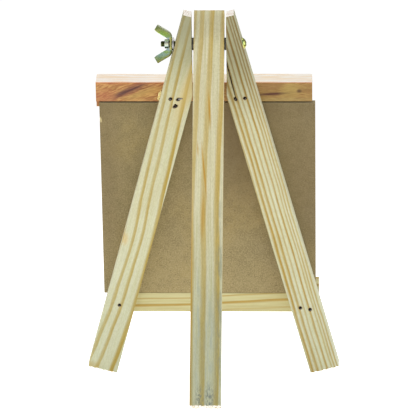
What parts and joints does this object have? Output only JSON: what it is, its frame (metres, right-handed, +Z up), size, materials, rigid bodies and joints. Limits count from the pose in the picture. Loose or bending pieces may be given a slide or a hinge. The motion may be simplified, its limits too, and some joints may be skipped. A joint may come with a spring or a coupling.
{
  "type": "tabletop artist easel",
  "caption": "Small pine tabletop easel with two splayed front legs, a clamped rear leg and a hardboard panel held between two rabbeted rails.",
  "frame": {"origin": "on the ground, midway between the frontmost and rearmost points and on the centre line", "axes": "+Z up; the board faces -Y and the rear leg stands towards +Y; the wing nut is on the +X side"},
  "size_m": [0.2054, 0.2092, 0.3029],
  "materials": {
    "pine": "sawn and lightly sanded, unfinished",
    "red_pine": "sawn heartwood, unfinished",
    "hardboard": "matte pressed fibre",
    "yellow_zinc": "yellow passivated zinc plating",
    "steel": "dull bare steel"
  },
  "bodies": {
    "frame": {"nut_side_leg": "pine", "head_side_leg": "pine", "top_rail": "red_pine", "bottom_rail": "pine", "pivot_bolt": "yellow_zinc", "nut_side_spacer": "steel", "head_side_spacer": "steel", "brads": "steel"},
    "rear_leg": {"rear_leg": "pine"},
    "board": {"board": "hardboard"},
    "nut_washer": {"nut_washer": "steel"},
    "wing_nut": {"wing_nut": "yellow_zinc"}
  },
  "joints": [
    {"name": "rear_leg_swing", "type": "hinge", "parent": "frame", "child": "rear_leg", "pos_m": [0, -0.00799, 0.27541], "axis": [1, 0, 0], "range_deg": [-38.7, 140.7]},
    {"name": "board_slide", "type": "slide", "parent": "frame", "child": "board", "axis": [1, 0, 0], "range_m": [-0.042, 0.042]},
    {"name": "nut_travel", "type": "slide", "parent": "frame", "child": "nut_washer", "axis": [1, 0, 0], "range_m": [0, 0.0024]},
    {"name": "wing_nut_turn", "type": "hinge", "parent": "nut_washer", "child": "wing_nut", "pos_m": [0.0322, -0.00799, 0.27541], "axis": [1, 0, 0], "range_deg": [0, 1080]}
  ],
  "couplings": [
    {"joint": "nut_travel", "follows": "wing_nut_turn", "m_per_rad": 0.00012732}
  ]
}
